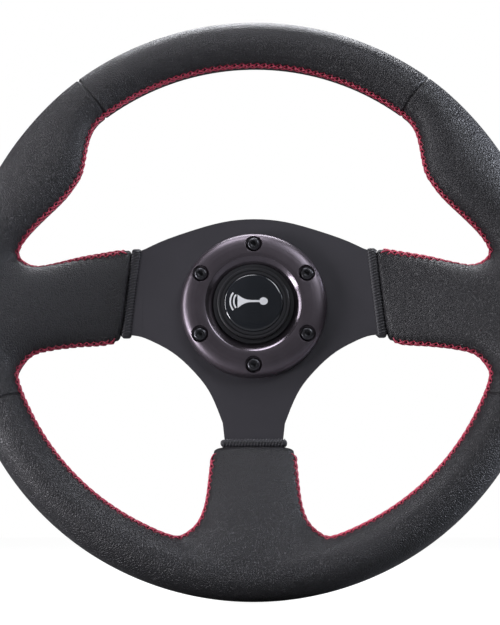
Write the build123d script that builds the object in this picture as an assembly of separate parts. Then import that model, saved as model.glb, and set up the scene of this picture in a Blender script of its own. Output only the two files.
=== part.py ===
"""Three-spoke sports steering wheel on a ball-lock quick release hub.

The wheel's axis runs along Y and the driver sits on the -Y side. +Z is up and +X is to the driver's
right. The origin is the centre of the release base's rear face, which bolts to the steering column.
All sizes are in millimetres.
"""
import math
import os

from build123d import *

# Overall sizes
RIM_OUTER_D = 325.0         # outside diameter of the leather rim
RIM_WIDTH = 26.5            # rim section measured along a radius
RIM_DEPTH = 28.0            # rim section measured along the axis
RIM_FORWARD = 24.0          # rim centre plane, ahead of the spoke plate's front face
LEATHER = 1.3               # leather thickness

# Rim core
HOOP_TUBE_D = 14.0          # steel hoop, outside diameter of its tube
HOOP_WALL = 1.5

# Thumb grips, as (degrees from the top, radial width of the section)
GRIP_STATIONS = [(48.0, 34.0), (54.0, 41.6), (61.0, 42.6), (66.4, 38.5), (71.4, 33.7), (77.0, 29.5)]
SEAM_UPPER = 38.5           # leather seams, degrees from the top
GRIP_END = 84.0             # where the grip has run back into the plain rim
SEAM_LOWER = 113.0

# Spoke plate
PLATE = 4.0                 # plate thickness
PLATE_TOP = 51.9            # top edge of the plate, above the axis
ARM_BEND = 76.0             # distance from the axis at which each arm bends towards the driver
SIDE_ARM_UPPER = 27.0       # side arm's upper and lower edges at the bend
SIDE_ARM_LOWER = -14.0
SIDE_ARM_DROP = 11.0        # how far the side arm's middle has dropped where it meets the hoop
BOTTOM_ARM_HALF = 16.4
ARM_TIP_HALF = 12.0         # half width of every arm where it meets the hoop

# Padded sleeves over the arms
SIDE_HEM_TOP = (65.5, 33.0)       # inner edge of the side hem strip, upper and lower end (x, z)
SIDE_HEM_BOTTOM = (70.4, -17.0)
BOTTOM_HEM = 76.5                 # inner edge of the bottom hem strip, from the axis
HEM_WIDTH = 5.5
BOTTOM_HEM_WIDTH = 3.9
HEM_PROUD = 1.2                   # hem leather stands this far off the plate
SLEEVE_START_DEPTH = 12.0         # sleeve section along the axis where it meets the hem

# Screws that hold ring, plate and socket together
BOLT_COUNT = 6
BOLT_PCD = 70.0
BOLT_R = 2.45
BOLT_HEAD_R = 4.5
BOLT_HEAD_H = 2.7
BOLT_ENGAGEMENT = 7.5       # thread length in the socket
HEX_KEY = 3.0               # across the flats of the screw's socket
CLEARANCE_HOLE = 0.2        # radial clearance of the screw holes
THREAD_CLEARANCE = 0.05
HEAD_CLEARANCE = 0.15       # round each screw head
HEAD_SUNK = 0.3             # screw head's top, below the ring's face

# Horn ring and horn button
FLANGE_MARGIN = 7.0         # ring and socket reach this far past the screw circle
RING_DEPTH = 8.5
RING_BEVEL = 4.6            # radial width of the polished inner bevel
RING_BEVEL_DEPTH = 3.6
HORN_R = 22.9               # horn housing, pressed into the ring's bore
HORN_WALL = 1.2
HORN_LIP = 2.0
HORN_LIP_DEPTH = 1.4
HORN_FRONT = 1.5            # housing front, behind the ring's front face
HORN_DEPTH = 10.5
HORN_FLOOR = 1.5
HUB_CLEARANCE = 2.1         # plate's hub hole, round the horn housing
CAP_CLEARANCE = 0.3
CAP_PROUD = 1.0             # cap rim, ahead of the ring's front face
CAP_TOP = 2.0               # thickness of the cap under the lens
CAP_RIM = 3.8               # width of the cap's rim round the lens
CAP_SKIRT = 2.0
CAP_FLANGE = 1.5
CAP_GROOVE = 0.6            # fine groove in the cap's rim
LENS_CLEARANCE = 0.1
LENS_EDGE = 1.6
LENS_DOME = 2.2
HORN_TRAVEL = 2.4
HORN_SPRING_GAP = 3.1       # between the cap's skirt and the spring's middle
HORN_SPRING_WIRE_R = 0.5
CONTACT_BOSS_R = 4.0
CONTACT_BOSS = 2.5          # boss under the cap that carries the moving contact
CONTACT_THICK = 0.5
CONTACT_GAP = 0.1           # left between the contacts at full travel
POST_R = 1.5
POST_HEAD_R = 2.6
POST_HEAD = 0.8
POST_X = 8.0                # fixed contacts stand this far from the axis

# Quick release
BASE_MARGIN = 6.0           # base flange reaches this far past the screw circle
BASE_FLANGE = 6.0
BASE_CLEARANCE_HOLE = 0.45  # radial clearance of the column screws, wide enough to line up with any boss
COUNTERSINK = 2.4
SPIGOT_R = 25.0
SPIGOT_LAND = 1.6           # spigot ahead of the ball groove
NOSE_LENGTH = 10.0          # splined nose
NOSE_STEP = 1.5             # spline tips, below the spigot's surface
SPLINE_HEIGHT = 3.5
SPLINE_COUNT = 6
SPLINE_WIDTH = 6.0
MASTER_SPLINE_WIDTH = 9.0   # the one wider spline that sets the wheel straight
SPLINE_CLEARANCE = 0.1
BASE_BORE_R = 16.0          # clears the column's nut
BASE_CHAMFER = 1.3
RUNNING_CLEARANCE = 0.05
END_CLEARANCE = 0.3         # between the spigot's end and the socket's step
BALL_COUNT = 6
BALL_R = 3.5
BALL_BITE = 1.25            # how far the locked balls reach into the spigot
BALL_HOLE_CLEARANCE = 0.05
BALL_LIP_CLEARANCE = 0.23   # narrowed inner mouth of each ball hole, round the locked ball
GROOVE_CLEARANCE = 0.15
SOCKET_FLANGE = 10.0
SOCKET_GAP = 0.5            # between the socket's end and the base flange
SKIRT_WALL = 4.8
SNAP_RING_FROM_END = 1.9
SNAP_RING_WIDTH = 1.2
SNAP_RING_DEPTH = 0.8       # groove depth in the skirt
SNAP_RING_PROUD = 1.8
SNAP_RING_GAP = 6.0
COLLAR_WALL = 9.7
COLLAR_TRAVEL = 6.0
COLLAR_SPRING = 9.0         # length of the spring with the collar at rest
COLLAR_LIP = 1.6            # collar's rear lip
COLLAR_CHAMFER = 1.5
GRIP_GROOVES = 3
GRIP_GROOVE_PITCH = 3.6
CAM_SLOPE = 0.2333          # rise of the collar's cone per millimetre, so balls move 1.4 in 6
CAM_LENGTH = 8.0
CAM_CLEARANCE = 0.0255
CAM_AHEAD = 1.0             # cone's small end, ahead of the ball plane
END_PLAY = 0.1              # between the collar and the snap ring
SPRING_WIRE_R = 0.8
SPRING_TURNS = 2.5
SPRING_OFF_SKIRT = 2.6      # spring's middle, outside the skirt

# Horn contact through the release
TRACK_WIDTH = 2.4
INSULATOR_WIDTH = 3.4
TRACK_THICK = 0.4
INSULATOR_THICK = 0.6
CARRIER_DEPTH = 6.0
CARRIER_WALL = 4.0          # from the pin's middle to the carrier's inner edge
PIN_R = 1.2
PIN_HEAD_R = 1.8
PIN_HEAD = 1.0
PIN_GUIDE = 1.5             # depth of the narrow part of the pin's bore
PIN_CLEARANCE = 0.1
STRIP_THICK = 0.8
STRIP_WIDTH = 4.0
STRIP_OVERHANG = 2.2        # strip reaches this far past the pin

# Planes across the axis, all as distances ahead of the mounting face (the -Y direction)
SOCKET_REAR = BASE_FLANGE + SOCKET_GAP
SNAP_REAR = SOCKET_REAR + SNAP_RING_FROM_END
COLLAR_REAR = SNAP_REAR + SNAP_RING_WIDTH + END_PLAY
BALL_PLANE = COLLAR_REAR + COLLAR_LIP + COLLAR_TRAVEL + BALL_R + 0.1
SPIGOT_END = BALL_PLANE + BALL_R + SPIGOT_LAND
NOSE_END = SPIGOT_END + NOSE_LENGTH
TRACK_FRONT = NOSE_END + INSULATOR_THICK + TRACK_THICK
SOCKET_FRONT = NOSE_END + SOCKET_FLANGE
COLLAR_FRONT = NOSE_END - COLLAR_SPRING
PLATE_REAR = SOCKET_FRONT
PLATE_FRONT = PLATE_REAR + PLATE
PLATE_MID = PLATE_REAR + PLATE / 2
RING_FRONT = PLATE_FRONT + RING_DEPTH
RIM_PLANE = PLATE_FRONT + RIM_FORWARD
SCREW_SEAT = RING_FRONT - BOLT_HEAD_H - HEAD_SUNK
HORN_FRONT_PLANE = RING_FRONT - HORN_FRONT
HORN_REAR = HORN_FRONT_PLANE - HORN_DEPTH
HORN_FLOOR_PLANE = HORN_REAR + HORN_FLOOR
CAP_RIM_PLANE = RING_FRONT + CAP_PROUD
CAP_SEAT = CAP_RIM_PLANE - CAP_TOP
CAP_UNDER = CAP_SEAT - CAP_TOP
CAP_FLANGE_FRONT = HORN_FRONT_PLANE - HORN_LIP_DEPTH - CAP_CLEARANCE
MOVING_CONTACT_FRONT = CAP_UNDER - CONTACT_BOSS
FIXED_CONTACT_FRONT = MOVING_CONTACT_FRONT - CONTACT_THICK - HORN_TRAVEL - CONTACT_GAP
CARRIER_FRONT = HORN_REAR - STRIP_THICK
CARRIER_REAR = CARRIER_FRONT - CARRIER_DEPTH
PIN_SEAT = CARRIER_REAR + PIN_GUIDE

# Radii
RIM_CENTRE_R = (RIM_OUTER_D - RIM_WIDTH) / 2
RIM_INNER_R = RIM_OUTER_D / 2 - RIM_WIDTH
HOLE_R = BOLT_R + CLEARANCE_HOLE
BASE_HOLE_R = BOLT_R + BASE_CLEARANCE_HOLE
RING_R = BOLT_PCD / 2 + FLANGE_MARGIN
BASE_R = BOLT_PCD / 2 + BASE_MARGIN
HUB_HOLE_R = HORN_R + HUB_CLEARANCE
CAP_R = HORN_R - HORN_LIP - CAP_CLEARANCE
CAP_FLANGE_R = HORN_R - HORN_WALL - CAP_CLEARANCE
CAP_SKIRT_R = CAP_R - CAP_SKIRT
LENS_R = CAP_R - CAP_RIM
HORN_SPRING_R = CAP_SKIRT_R - HORN_SPRING_GAP
MOVING_CONTACT_R = HORN_SPRING_R - 3.0
SOCKET_BORE_R = SPIGOT_R + RUNNING_CLEARANCE
SKIRT_R = SPIGOT_R + SKIRT_WALL
COLLAR_R = SKIRT_R + COLLAR_WALL
COLLAR_BORE_R = SKIRT_R + RUNNING_CLEARANCE
NOSE_TIP_R = SPIGOT_R - NOSE_STEP
NOSE_ROOT_R = NOSE_TIP_R - SPLINE_HEIGHT
BALL_LOCKED_R = SPIGOT_R + BALL_R - BALL_BITE
CONTACT_R = (BASE_BORE_R + NOSE_ROOT_R) / 2
RECESS_R = max(HORN_R, CONTACT_R + STRIP_OVERHANG + PIN_CLEARANCE)


def revolved(points):
    """Solid of revolution about the wheel's axis from (radius, distance ahead) corners."""
    outline = Polyline(*[(r, -ahead, 0) for r, ahead in points], close=True)
    return revolve(make_face(outline), Axis.Y)


def ring(inner_r, outer_r, rear, front):
    """Plain ring, or a disc when inner_r is 0, between two planes ahead of the mounting face."""
    return revolved([(inner_r, rear), (outer_r, rear), (outer_r, front), (inner_r, front)])


def rod(radius, x, z, rear, front):
    """Cylinder along the axis direction, centred at x, z."""
    return Pos(x, -(rear + front) / 2, z) * Rot(90, 0, 0) * Cylinder(radius, front - rear)


def block(low, high):
    """Box between two corners given as (x, distance ahead, z)."""
    size = [abs(b - a) for a, b in zip(low, high)]
    middle = [(a + b) / 2 for a, b in zip(low, high)]
    return Pos(middle[0], -middle[1], middle[2]) * Box(*size)


def around(shape, count, start=0.0):
    """Copies of a shape turned about the wheel's axis."""
    return [Rot(0, start + i * 360 / count, 0) * shape for i in range(count)]


def bolt_places():
    """Bolt centres as (x, z), with one at the top."""
    for i in range(BOLT_COUNT):
        turn = math.radians(i * 360 / BOLT_COUNT)
        yield BOLT_PCD / 2 * math.sin(turn), BOLT_PCD / 2 * math.cos(turn)


def coil(mean_r, wire_r, rear, front, turns):
    """Coil spring on the wheel's axis, its wire just touching the planes rear and front."""
    height = front - rear - 2 * wire_r
    path = Helix(height / turns, height, mean_r)
    section = Plane(path @ 0, z_dir=path % 0) * Circle(wire_r)
    wire = sweep(section, path)
    return Pos(0, -(rear + wire_r), 0) * Rot(90, 0, 0) * wire


# Rim and sleeves ---------------------------------------------------------------------------------

def rim_section(angle, width, inset):
    """Oval rim section at an angle from the top; its outer edge stays on the outer circle."""
    middle = RIM_OUTER_D / 2 - width / 2
    turn = math.radians(angle)
    across, up = math.sin(turn), math.cos(turn)
    origin = (middle * across, -RIM_PLANE, middle * up)
    place = Plane(origin=origin, x_dir=(across, 0, up), z_dir=(up, 0, -across))
    return place * Ellipse(width / 2 - inset, RIM_DEPTH / 2 - inset)


def plain_rim(first, last, inset):
    """Constant-section stretch of rim between two angles from the top."""
    section = rim_section(first, RIM_WIDTH, inset)
    return revolve(section, Axis.Y, last - first)


def grip_rim(inset):
    """Right-hand thumb grip, which swells inwards between the upper seam and the plain rim."""
    stations = [(SEAM_UPPER, RIM_WIDTH), (SEAM_UPPER + 4, RIM_WIDTH + 0.6)] + GRIP_STATIONS
    stations.append((GRIP_END, RIM_WIDTH))
    return loft([rim_section(angle, width, inset) for angle, width in stations])


def sleeve(stations, inset):
    """Padded sleeve along +X from (distance, lower edge, upper edge, depth, ahead) stations."""
    sections = []
    for distance, lower, upper, depth, ahead in stations:
        width = upper - lower - 2 * inset
        thick = depth - 2 * inset
        place = Plane(origin=(distance, -ahead, (upper + lower) / 2), x_dir=(0, 0, 1), z_dir=(1, 0, 0))
        sections.append(place * RectangleRounded(width, thick, thick * 0.48))
    return loft(sections)


def arm_ahead(distance):
    """How far ahead of the mounting face an arm's middle is, at a distance from the axis."""
    run = RIM_CENTRE_R - HOOP_TUBE_D / 2 - ARM_BEND
    share = max(0.0, distance - ARM_BEND) / run
    return PLATE_MID + (RIM_PLANE - PLATE_MID) * share


def side_sleeve(inset):
    """Right-hand spoke's sleeve, from its hem out into the rim."""
    start = SIDE_HEM_TOP[0] + 2.0
    valley = RIM_INNER_R - 12.0
    half = (start + valley) / 2
    end = RIM_CENTRE_R - 8.0
    stations = [
        (start, -18.8, 35.6, SLEEVE_START_DEPTH, PLATE_MID),
        (half, -24.0, 29.0, 15.0, arm_ahead(half)),
        (valley, -30.6, 18.6, 21.0, arm_ahead(valley)),
        (end, -52.0, 32.0, 25.0, arm_ahead(end)),
    ]
    far = 70.0
    hub_side = [(0, far), (hem_x(far) + HEM_WIDTH, far), (hem_x(-far) + HEM_WIDTH, -far), (0, -far)]
    return sleeve(stations, inset) - slab(hub_side, 0, 2 * RIM_PLANE)


def bottom_sleeve(inset):
    """Bottom spoke's sleeve, modelled along +X and turned down."""
    start = BOTTOM_HEM + BOTTOM_HEM_WIDTH
    half = RIM_INNER_R - 30.0
    near = RIM_INNER_R - 15.0
    end = RIM_CENTRE_R - 8.0
    stations = [
        (start, -22.8, 22.8, SLEEVE_START_DEPTH, arm_ahead(start)),
        (half, -24.0, 24.0, 17.0, arm_ahead(half)),
        (near, -26.5, 26.5, 21.0, arm_ahead(near)),
        (end, -46.0, 46.0, 25.0, arm_ahead(end)),
    ]
    return Rot(0, 90, 0) * sleeve(stations, inset)


def grip_solid(inset):
    """The whole padded outer form, pulled in by inset."""
    grip = grip_rim(inset)
    side = side_sleeve(inset)
    form = plain_rim(-SEAM_UPPER, SEAM_UPPER, inset) + grip + mirror(grip, Plane.YZ)
    form += plain_rim(GRIP_END, 360 - GRIP_END, inset)
    form += side
    form += mirror(side, Plane.YZ)
    return form + bottom_sleeve(inset)


def slab(corners, rear, front):
    """Prism along the axis from (x, z) corners."""
    outline = Polyline(*[(x, -rear, z) for x, z in corners], close=True)
    return extrude(make_face(outline), front - rear, dir=(0, -1, 0))


def sector(first, last):
    """Wedge of space about the axis between two angles from the top, wider than the rim."""
    reach = RIM_OUTER_D
    steps = max(2, math.ceil((last - first) / 60) + 1)
    turns = [math.radians(first + (last - first) * i / (steps - 1)) for i in range(steps)]
    corners = [(0, 0)] + [(reach * math.sin(t), reach * math.cos(t)) for t in turns]
    return slab(corners, 0, 2 * RIM_PLANE)


# Frame of the wheel ------------------------------------------------------------------------------

def rim_hoop():
    centre = Plane(origin=(RIM_CENTRE_R, -RIM_PLANE, 0), x_dir=(1, 0, 0), z_dir=(0, 0, 1))
    tube = centre * (Circle(HOOP_TUBE_D / 2) - Circle(HOOP_TUBE_D / 2 - HOOP_WALL))
    return revolve(tube, Axis.Y)


def hoop_envelope():
    centre = Plane(origin=(RIM_CENTRE_R, -RIM_PLANE, 0), x_dir=(1, 0, 0), z_dir=(0, 0, 1))
    return revolve(centre * Circle(HOOP_TUBE_D / 2), Axis.Y)


def bent_band():
    """The side view of one arm: flat under the hub, then a ramp up to the rim plane."""
    tip = RIM_CENTRE_R
    ramp = (arm_ahead(tip) - PLATE_MID) / (tip - ARM_BEND)
    extra = PLATE / 2 * math.sqrt(1 + ramp * ramp)
    middle = [(0.0, PLATE_MID), (ARM_BEND, PLATE_MID), (tip, arm_ahead(tip))]
    offsets = [PLATE / 2, (PLATE / 2 + extra) / 2, extra]
    near = [(x, -(y + o), 0) for (x, y), o in zip(middle, offsets)]
    far = [(x, -(y - o), 0) for (x, y), o in zip(middle, offsets)]
    outline = Polyline(*near, *reversed(far), close=True)
    reach = 80.0
    return Pos(0, 0, -reach) * extrude(make_face(outline), 2 * reach, dir=(0, 0, 1))


def arm(root_lower, root_upper, drop):
    """One arm beyond the flat of the plate, along +X, tapering to the hoop."""
    overlap = 12.0
    corners = [
        (ARM_BEND - overlap, root_lower),
        (ARM_BEND, root_lower),
        (RIM_CENTRE_R, -drop - ARM_TIP_HALF),
        (RIM_CENTRE_R, -drop + ARM_TIP_HALF),
        (ARM_BEND, root_upper),
        (ARM_BEND - overlap, root_upper),
    ]
    return slab(corners, 0, 2 * RIM_PLANE) & bent_band()


def spoke_plate():
    """Flat three-armed plate with the arms bent forward and coped to the hoop."""
    side_top = (SIDE_HEM_TOP[0] + HEM_WIDTH / 2, SIDE_HEM_TOP[1] - 0.6)
    side_low = (SIDE_HEM_BOTTOM[0] + HEM_WIDTH / 2, SIDE_HEM_BOTTOM[1] + 0.8)
    edge = [(0, PLATE_TOP), (17.4, 50.3), (35.9, 45.2), (58.9, 36.3), side_top]
    arc = [side_low, (66.0, -16.9), (58.0, -20.0), (47.0, -26.1), (33.1, -38.7), (24.1, -51.3)]
    arc += [(17.8, -66.3), (BOTTOM_ARM_HALF, -BOTTOM_HEM)]
    top = Spline(*[(x, 0, z) for x, z in edge], tangents=[(1, 0, 0), (1, 0, -0.25)])
    low = Spline(*[(x, 0, z) for x, z in arc], tangents=[(-1, 0, 0), (-0.12, 0, -1)])
    rail = [
        (side_top[0], 0, side_top[1]), (ARM_BEND, 0, SIDE_ARM_UPPER),
        (ARM_BEND, 0, SIDE_ARM_LOWER), (side_low[0], 0, side_low[1]),
    ]
    foot = [(BOTTOM_ARM_HALF, 0, -BOTTOM_HEM), (0, 0, -BOTTOM_HEM), (0, 0, edge[0][1])]
    outline = top + Polyline(*rail) + low + Polyline(*foot)
    half = Pos(0, -PLATE_REAR, 0) * extrude(make_face(outline), PLATE, dir=(0, -1, 0))
    side_arm = arm(SIDE_ARM_LOWER, SIDE_ARM_UPPER, SIDE_ARM_DROP)
    bottom_arm = Rot(0, 90, 0) * arm(-BOTTOM_ARM_HALF, BOTTOM_ARM_HALF, 0)
    plate = half + mirror(half, Plane.YZ) + side_arm + mirror(side_arm, Plane.YZ) + bottom_arm
    plate -= ring(0, HUB_HOLE_R, 0, RIM_PLANE)
    for x, z in bolt_places():
        plate -= rod(HOLE_R, x, z, PLATE_REAR - 1, PLATE_FRONT + 1)
    return plate - hoop_envelope()


def hem_x(z):
    """Inner edge of the slanting side hem, at a height."""
    (x_top, z_top), (x_low, z_low) = SIDE_HEM_TOP, SIDE_HEM_BOTTOM
    return x_top + (x_low - x_top) * (z - z_top) / (z_low - z_top)


def side_hem(plate):
    """Leather hem strip round the right arm, where its sleeve begins."""
    high = SIDE_HEM_TOP[1] + HEM_PROUD
    low = SIDE_HEM_BOTTOM[1] - HEM_PROUD
    corners = [
        (hem_x(high), high), (hem_x(high) + HEM_WIDTH, high),
        (hem_x(low) + HEM_WIDTH, low), (hem_x(low), low),
    ]
    return slab(corners, PLATE_REAR - HEM_PROUD, PLATE_FRONT + HEM_PROUD) - plate


def bottom_hem(plate):
    half = BOTTOM_ARM_HALF + 1.0 + HEM_PROUD
    lift = arm_ahead(BOTTOM_HEM + BOTTOM_HEM_WIDTH) - PLATE_MID
    low = (-half, PLATE_REAR - HEM_PROUD, -BOTTOM_HEM - BOTTOM_HEM_WIDTH)
    high = (half, PLATE_FRONT + HEM_PROUD + lift, -BOTTOM_HEM)
    return block(low, high) - plate


# Horn ring, bolts and horn button ----------------------------------------------------------------

def horn_ring():
    face_r = HORN_R + RING_BEVEL
    body = revolved([
        (HORN_R, PLATE_FRONT), (RING_R, PLATE_FRONT), (RING_R, RING_FRONT - 2.6),
        (RING_R - 1.2, RING_FRONT - 1.1), (RING_R - 3.6, RING_FRONT - 0.2),
        (face_r, RING_FRONT), (HORN_R, RING_FRONT - RING_BEVEL_DEPTH),
    ])
    for x, z in bolt_places():
        body -= rod(HOLE_R, x, z, PLATE_FRONT - 1, RING_FRONT + 1)
        body -= rod(BOLT_HEAD_R + HEAD_CLEARANCE, x, z, SCREW_SEAT, RING_FRONT + 1)
    return body


def wheel_bolts():
    """Button-head socket screws from the ring into the release socket."""
    length = SCREW_SEAT - PLATE_REAR + BOLT_ENGAGEMENT
    head = Cylinder(BOLT_HEAD_R, BOLT_HEAD_H)
    head = fillet(head.edges().sort_by(Axis.Z)[-1], BOLT_HEAD_H * 0.6)
    key = extrude(RegularPolygon(HEX_KEY / 2, 6, major_radius=False), BOLT_HEAD_H)
    head = Pos(0, 0, BOLT_HEAD_H / 2) * head - Pos(0, 0, BOLT_HEAD_H * 0.25) * key
    shank = Pos(0, 0, -length / 2) * Cylinder(BOLT_R, length)
    screw = Rot(90, 0, 0) * (head + shank)
    return Compound(children=[Pos(x, -SCREW_SEAT, z) * screw for x, z in bolt_places()])


def horn_housing():
    """Cup pressed into the ring; its front lip keeps the cap in."""
    wall_r = HORN_R - HORN_WALL
    lip_r = HORN_R - HORN_LIP
    lip_rear = HORN_FRONT_PLANE - HORN_LIP_DEPTH
    cup = revolved([
        (0, HORN_REAR), (HORN_R, HORN_REAR), (HORN_R, HORN_FRONT_PLANE), (lip_r, HORN_FRONT_PLANE),
        (lip_r, lip_rear), (wall_r, lip_rear), (wall_r, HORN_FLOOR_PLANE), (0, HORN_FLOOR_PLANE),
    ])
    return cup - contact_post(-1) - contact_post(1)


def horn_cap():
    """Button top: a rim with a fine groove, a seat for the lens, and a skirt with a flange."""
    flange_rear = CAP_FLANGE_FRONT - CAP_FLANGE
    groove_r = CAP_R - CAP_RIM / 2 + CAP_GROOVE / 2
    seat_r = LENS_R + LENS_CLEARANCE
    cap = revolved([
        (0, CAP_UNDER), (CAP_SKIRT_R, CAP_UNDER), (CAP_SKIRT_R, flange_rear),
        (CAP_FLANGE_R, flange_rear), (CAP_FLANGE_R, CAP_FLANGE_FRONT), (CAP_R, CAP_FLANGE_FRONT),
        (CAP_R, CAP_RIM_PLANE - CAP_GROOVE), (CAP_R - CAP_GROOVE, CAP_RIM_PLANE),
        (groove_r, CAP_RIM_PLANE), (groove_r, CAP_RIM_PLANE - CAP_GROOVE),
        (groove_r - CAP_GROOVE, CAP_RIM_PLANE - CAP_GROOVE), (groove_r - CAP_GROOVE, CAP_RIM_PLANE),
        (seat_r, CAP_RIM_PLANE), (seat_r, CAP_SEAT), (0, CAP_SEAT),
    ])
    return cap + ring(0, CONTACT_BOSS_R, MOVING_CONTACT_FRONT, CAP_UNDER)


def horn_lens():
    """Domed clear cover over the button's badge disc."""
    top = CAP_SEAT + LENS_EDGE + LENS_DOME
    dome_r = (LENS_R ** 2 + LENS_DOME ** 2) / (2 * LENS_DOME)
    return ring(0, LENS_R, CAP_SEAT, top) & Pos(0, dome_r - top, 0) * Sphere(dome_r)


def moving_contact():
    return ring(0, MOVING_CONTACT_R, MOVING_CONTACT_FRONT - CONTACT_THICK, MOVING_CONTACT_FRONT)


def contact_post(side):
    """Rivet through the housing floor that one fixed contact stands on."""
    return rod(POST_R, side * POST_X, 0, HORN_REAR, FIXED_CONTACT_FRONT)


def fixed_contact(side):
    head = rod(POST_HEAD_R, side * POST_X, 0, FIXED_CONTACT_FRONT - POST_HEAD, FIXED_CONTACT_FRONT)
    return contact_post(side) + head


def contact_strip(side, outer):
    """Brass strip behind the housing, from one fixed contact out to a radius."""
    low = (side * (POST_X - POST_HEAD_R), CARRIER_FRONT, -STRIP_WIDTH / 2)
    return block(low, (side * outer, HORN_REAR, STRIP_WIDTH / 2))


# Quick release -----------------------------------------------------------------------------------

def spline_profile(clearance):
    """Six-lobed outline of the splined nose, or of its socket when clearance is added."""
    outline = Circle(NOSE_ROOT_R + clearance)
    for i in range(SPLINE_COUNT):
        width = MASTER_SPLINE_WIDTH if i == 0 else SPLINE_WIDTH
        tooth = Pos(0, NOSE_TIP_R / 2) * Rectangle(width + 2 * clearance, NOSE_TIP_R + 2 * clearance)
        outline += Rot(0, 0, i * 360 / SPLINE_COUNT) * tooth
    return outline & Circle(NOSE_TIP_R + clearance)


def splined(clearance, rear, front):
    return Pos(0, -rear, 0) * Rot(90, 0, 0) * extrude(spline_profile(clearance), front - rear)


def ball_circle(radius):
    """Ring of round section on the circle where the locked balls sit."""
    place = Plane(origin=(BALL_LOCKED_R, -BALL_PLANE, 0), x_dir=(1, 0, 0), z_dir=(0, 0, 1))
    return revolve(place * Circle(radius), Axis.Y)


def release_base():
    """Column side: bolting flange, spigot with a ball groove, and splined nose."""
    edge = 1.0
    body = revolved([
        (0, 0), (BASE_R - edge, 0), (BASE_R, edge), (BASE_R, BASE_FLANGE - edge),
        (BASE_R - edge, BASE_FLANGE), (SPIGOT_R, BASE_FLANGE), (SPIGOT_R, SPIGOT_END - BASE_CHAMFER - 0.5),
        (SPIGOT_R - BASE_CHAMFER, SPIGOT_END), (0, SPIGOT_END),
    ])
    body += splined(0, SPIGOT_END - 1, NOSE_END)
    body -= ring(0, BASE_BORE_R, -1, NOSE_END + 1)
    body -= ball_circle(BALL_R + GROOVE_CLEARANCE)
    for x, z in bolt_places():
        body -= rod(BASE_HOLE_R, x, z, -1, BASE_FLANGE + 1)
        body -= Pos(x, -BASE_FLANGE, z) * Rot(90, 0, 0) * countersink()
    return body


def countersink():
    """Seat for a countersunk screw, its mouth at z = 0 and its point below."""
    return Pos(0, 0, -COUNTERSINK / 2) * Cone(BASE_HOLE_R, BASE_HOLE_R + COUNTERSINK, COUNTERSINK)


def ball_hole():
    """Stepped radial hole along +Z that holds one ball and stops it falling inwards."""
    step_r = SOCKET_BORE_R + 0.2
    mouth = math.sqrt(BALL_R ** 2 - (BALL_LOCKED_R - SOCKET_BORE_R) ** 2) + BALL_LIP_CLEARANCE
    depth = SKIRT_WALL + 2.0
    outer = Pos(0, 0, step_r + depth / 2) * Cylinder(BALL_R + BALL_HOLE_CLEARANCE, depth)
    lip = Pos(0, 0, SPIGOT_R) * Cylinder(mouth, 4.0)
    return Pos(0, -BALL_PLANE, 0) * (outer + lip)


def release_socket():
    """Wheel side: bolting flange and skirt with the ball holes and the internal spline."""
    body = revolved([
        (0, SOCKET_REAR), (SKIRT_R, SOCKET_REAR), (SKIRT_R, NOSE_END),
        (RING_R, NOSE_END), (RING_R, SOCKET_FRONT), (0, SOCKET_FRONT),
    ])
    body -= ring(0, SOCKET_BORE_R, SOCKET_REAR - 1, SPIGOT_END + END_CLEARANCE)
    body -= splined(SPLINE_CLEARANCE, SPIGOT_END - 1, NOSE_END + 1)
    body -= ring(0, RECESS_R, NOSE_END + 0.5, SOCKET_FRONT + 1)
    body -= ring(SKIRT_R - SNAP_RING_DEPTH, SKIRT_R + 1, SNAP_REAR, SNAP_REAR + SNAP_RING_WIDTH)
    for hole in around(ball_hole(), BALL_COUNT):
        body -= hole
    for x, z in bolt_places():
        body -= rod(BOLT_R + THREAD_CLEARANCE, x, z, NOSE_END - 1, SOCKET_FRONT + 1)
    return body


def snap_ring():
    """Retaining ring with a gap at its foot, behind the collar."""
    outer_r = SKIRT_R + SNAP_RING_PROUD
    whole = ring(SKIRT_R - SNAP_RING_DEPTH, outer_r, SNAP_REAR, SNAP_REAR + SNAP_RING_WIDTH)
    half = SNAP_RING_GAP / 2
    low = (-half, SNAP_REAR - 1, -outer_r - 1)
    return whole - block(low, (half, SNAP_REAR + SNAP_RING_WIDTH + 1, 2 - SKIRT_R))


def cam_radius(behind):
    """Radius of the collar's cone, at a distance behind the ball plane, with the balls locked."""
    touch = (BALL_R + CAM_CLEARANCE) * math.sqrt(1 + CAM_SLOPE ** 2)
    return BALL_LOCKED_R + touch + CAM_SLOPE * behind


def release_collar():
    """Pull-back collar whose inner cone holds the balls in, or lets them out."""
    cone_start = BALL_PLANE + CAM_AHEAD
    cone_end = cone_start - CAM_LENGTH
    lip_front = COLLAR_REAR + COLLAR_LIP
    small = cam_radius(-CAM_AHEAD)
    relief = cam_radius(CAM_LENGTH - CAM_AHEAD)
    reach = math.sqrt(BALL_R ** 2 - (COLLAR_BORE_R - BALL_LOCKED_R) ** 2)
    guide_end = BALL_PLANE + reach + 0.2
    edge = COLLAR_CHAMFER
    body = revolved([
        (COLLAR_BORE_R, COLLAR_REAR), (COLLAR_R - edge, COLLAR_REAR), (COLLAR_R, COLLAR_REAR + edge),
        (COLLAR_R, COLLAR_FRONT - edge), (COLLAR_R - edge, COLLAR_FRONT), (COLLAR_BORE_R, COLLAR_FRONT),
        (COLLAR_BORE_R, guide_end), (small, guide_end), (small, cone_start), (relief, cone_end),
        (relief, lip_front), (COLLAR_BORE_R, lip_front),
    ])
    middle = (COLLAR_REAR + COLLAR_FRONT) / 2
    for groove in range(GRIP_GROOVES):
        at = middle + GRIP_GROOVE_PITCH * (groove - (GRIP_GROOVES - 1) / 2)
        body -= ring(COLLAR_R - 0.8, COLLAR_R + 1, at - 0.7, at + 0.7)
    return body


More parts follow.
